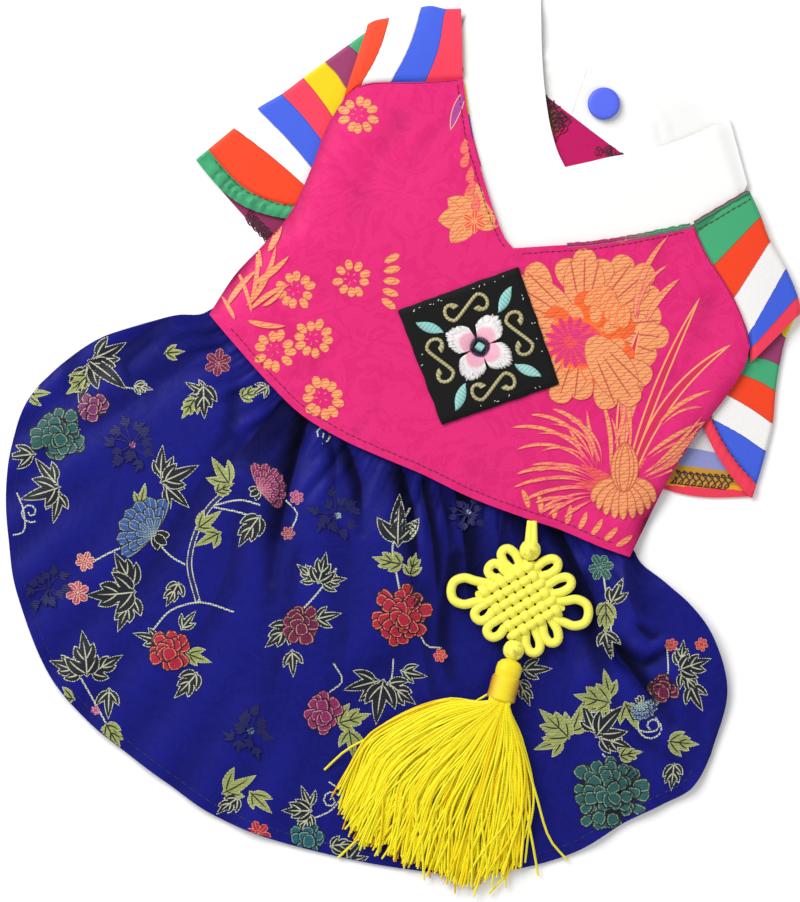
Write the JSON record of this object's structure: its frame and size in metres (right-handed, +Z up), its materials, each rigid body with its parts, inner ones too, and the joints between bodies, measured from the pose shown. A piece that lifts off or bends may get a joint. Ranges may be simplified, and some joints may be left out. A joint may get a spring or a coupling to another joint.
{
  "type": "dog hanbok",
  "caption": "Small dog's hanbok lying flat, back up: brocade bodice, striped raglan sleeves, white collar band, gathered skirt, embroidered patch and a knotted pendant with a tassel.",
  "frame": {"origin": "on the surface it lies on, under the middle of the outline", "axes": "+X to the wearer's right side, +Y from the skirt's hem to the neck along the centre back, +Z up from the surface"},
  "size_m": [0.277, 0.314, 0.0111],
  "materials": {
    "fuchsia_brocade": "satin brocade",
    "pink_cloth": "satin",
    "rainbow_stripes": "satin stripes",
    "white_satin": "satin",
    "blue_plastic": "moulded",
    "blue_brocade": "satin brocade",
    "black_satin": "embroidered satin",
    "yellow_cord": "braided cord",
    "yellow_tassel": "rayon strands"
  },
  "bodies": {
    "root": {"bodice_back": "fuchsia_brocade", "belly_left": "pink_cloth", "belly_right": "pink_cloth", "sleeve_left_arm": "rainbow_stripes", "sleeve_left_cap": "rainbow_stripes", "sleeve_right_arm": "rainbow_stripes", "sleeve_right_cap": "rainbow_stripes", "collar_back_left": "white_satin", "collar_back_right": "white_satin", "collar_belly_left": "white_satin", "collar_belly_right": "white_satin", "snap_cap": "blue_plastic", "skirt": "blue_brocade", "patch": "black_satin", "norigae_strap": "yellow_cord", "norigae_button_upper": "yellow_cord", "norigae_button_lower": "yellow_cord", "norigae_knot": "yellow_cord", "norigae_tassel": "yellow_tassel"}
  },
  "joints": []
}
